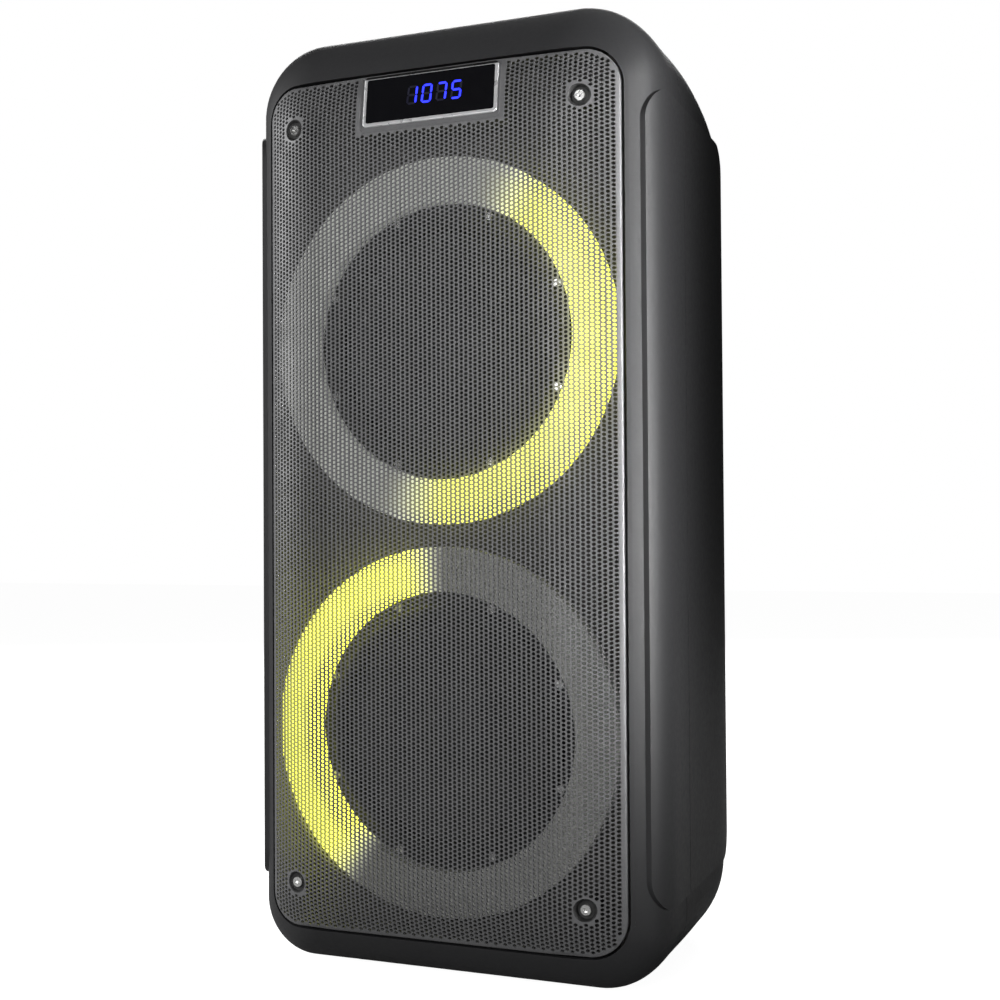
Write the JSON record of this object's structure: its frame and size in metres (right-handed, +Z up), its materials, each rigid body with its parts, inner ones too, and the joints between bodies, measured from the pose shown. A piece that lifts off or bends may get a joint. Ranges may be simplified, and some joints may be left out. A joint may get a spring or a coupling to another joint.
{
  "type": "party speaker",
  "caption": "Tall party speaker with rounded body, pillow-shaped perforated grille over woofers circled by light rings, display, top controls, rear inputs and bass ports.",
  "frame": {"origin": "middle of the footprint, on the plane that the feet stand on", "axes": "+Z up, -Y is the front with the grille, +X to the right as seen from the front"},
  "size_m": [0.3238, 0.289, 0.6963],
  "materials": {
    "body_plastic": "fine-grained charcoal moulding",
    "side_plastic": "smooth satin charcoal moulding",
    "grille_steel": "perforated steel, powder coated dark grey",
    "screw_steel": "zinc-plated steel",
    "trim_silver": "silver paint on plastic",
    "display_window": "polished smoked acrylic",
    "circuit_board": "green solder mask with components",
    "ring_diffuser": "frosted translucent diffuser",
    "ring_board": "white solder mask",
    "baffle_board": "black-stained fibreboard",
    "heat_sink": "black-anodised extrusion",
    "battery_case": "wrapped battery case",
    "lead_cover": "flexible insulated wire",
    "terminal_brass": "plain brass tags on a block",
    "panel_plastic": "black fine-grained panel",
    "knob_plastic": "satin black",
    "jack_metal": "nickel-plated",
    "socket_plastic": "black thermoplastic",
    "port_plastic": "satin black",
    "handle_plastic": "soft-touch charcoal",
    "foot_rubber": "black rubber",
    "button_rubber": "soft-touch rubber caps",
    "basket_steel": "black-painted pressed steel",
    "magnet_ferrite": "ground ferrite",
    "plate_steel": "zinc-plated steel",
    "coil_copper": "enamelled copper wire",
    "cone_paper": "pressed black paper pulp",
    "surround_rubber": "butyl rubber",
    "spider_cloth": "resin-dipped cloth"
  },
  "bodies": {
    "cabinet": {"amplifier_board": "circuit_board", "baffle": "baffle_board", "battery_pack": "battery_case", "cabinet_screws": "screw_steel", "control_board": "circuit_board", "control_panel": "panel_plastic", "display_board": "circuit_board", "display_housing": "trim_silver", "display_window": "display_window", "feet": "foot_rubber", "front_bezel": "body_plastic", "grille": "grille_steel", "grille_screws": "screw_steel", "handle_bar": "handle_plastic", "heat_sink": "heat_sink", "input_jacks": "jack_metal", "lower_light_ring": "ring_diffuser", "lower_ring_board": "ring_board", "lower_spider": "spider_cloth", "lower_surround": "surround_rubber", "lower_woofer_basket": "basket_steel", "lower_woofer_magnet": "magnet_ferrite", "lower_woofer_top_plate": "plate_steel", "lower_woofer_yoke": "plate_steel", "power_inlet": "socket_plastic", "power_supply_board": "circuit_board", "rear_cabinet": "body_plastic", "rear_panel": "panel_plastic", "rear_screws": "screw_steel", "reflex_ports": "port_plastic", "side_panel_left": "side_plastic", "side_panel_right": "side_plastic", "speaker_leads": "lead_cover", "upper_light_ring": "ring_diffuser", "upper_ring_board": "ring_board", "upper_spider": "spider_cloth", "upper_surround": "surround_rubber", "upper_woofer_basket": "basket_steel", "upper_woofer_magnet": "magnet_ferrite", "upper_woofer_top_plate": "plate_steel", "upper_woofer_yoke": "plate_steel", "usb_socket": "jack_metal", "woofer_screws": "screw_steel", "woofer_terminals": "terminal_brass"},
    "upper_diaphragm": {"upper_cone": "cone_paper", "upper_dust_cap": "cone_paper", "upper_voice_coil": "coil_copper"},
    "lower_diaphragm": {"lower_cone": "cone_paper", "lower_dust_cap": "cone_paper", "lower_voice_coil": "coil_copper"},
    "volume": {"volume_knob": "knob_plastic"},
    "mic_level": {"mic_knob": "knob_plastic"},
    "guitar_level": {"guitar_knob": "knob_plastic"},
    "power_key": {"power_button": "button_rubber"},
    "pairing_key": {"pairing_button": "button_rubber"},
    "light_key": {"light_button": "button_rubber"},
    "bass_key": {"bass_button": "button_rubber"},
    "play_key": {"play_button": "button_rubber"},
    "mode_key": {"mode_button": "button_rubber"},
    "rocker": {"rocker_switch": "knob_plastic"}
  },
  "joints": [
    {"name": "upper_excursion", "type": "slide", "parent": "cabinet", "child": "upper_diaphragm", "axis": [0, -1, 0], "range_m": [-0.004, 0.004], "stiffness_N_per_m": 1500, "deforming": ["upper_surround", "upper_spider"]},
    {"name": "lower_excursion", "type": "slide", "parent": "cabinet", "child": "lower_diaphragm", "axis": [0, -1, 0], "range_m": [-0.004, 0.004], "stiffness_N_per_m": 1500, "deforming": ["lower_surround", "lower_spider"]},
    {"name": "volume_turn", "type": "hinge", "parent": "cabinet", "child": "volume", "pos_m": [0, -0.0745, 0.692], "axis": [0, 0, 1], "continuous": true},
    {"name": "mic_level_turn", "type": "hinge", "parent": "cabinet", "child": "mic_level", "pos_m": [-0.05, 0.1345, 0.198], "axis": [0, 1, 0], "range_deg": [-150, 150]},
    {"name": "guitar_level_turn", "type": "hinge", "parent": "cabinet", "child": "guitar_level", "pos_m": [-0.018, 0.1345, 0.198], "axis": [0, 1, 0], "range_deg": [-150, 150]},
    {"name": "power_press", "type": "slide", "parent": "cabinet", "child": "power_key", "axis": [0, 0, -1], "range_m": [0, 0.0012], "stiffness_N_per_m": 600, "springref_m": -0.001},
    {"name": "pairing_press", "type": "slide", "parent": "cabinet", "child": "pairing_key", "axis": [0, 0, -1], "range_m": [0, 0.0012], "stiffness_N_per_m": 600, "springref_m": -0.001},
    {"name": "light_press", "type": "slide", "parent": "cabinet", "child": "light_key", "axis": [0, 0, -1], "range_m": [0, 0.0012], "stiffness_N_per_m": 600, "springref_m": -0.001},
    {"name": "bass_press", "type": "slide", "parent": "cabinet", "child": "bass_key", "axis": [0, 0, -1], "range_m": [0, 0.0012], "stiffness_N_per_m": 600, "springref_m": -0.001},
    {"name": "play_press", "type": "slide", "parent": "cabinet", "child": "play_key", "axis": [0, 0, -1], "range_m": [0, 0.0012], "stiffness_N_per_m": 600, "springref_m": -0.001},
    {"name": "mode_press", "type": "slide", "parent": "cabinet", "child": "mode_key", "axis": [0, 0, -1], "range_m": [0, 0.0012], "stiffness_N_per_m": 600, "springref_m": -0.001},
    {"name": "rocker_tilt", "type": "hinge", "parent": "cabinet", "child": "rocker", "pos_m": [-0.036, 0.1245, 0.129], "axis": [1, 0, 0], "range_deg": [-16, 0]}
  ]
}
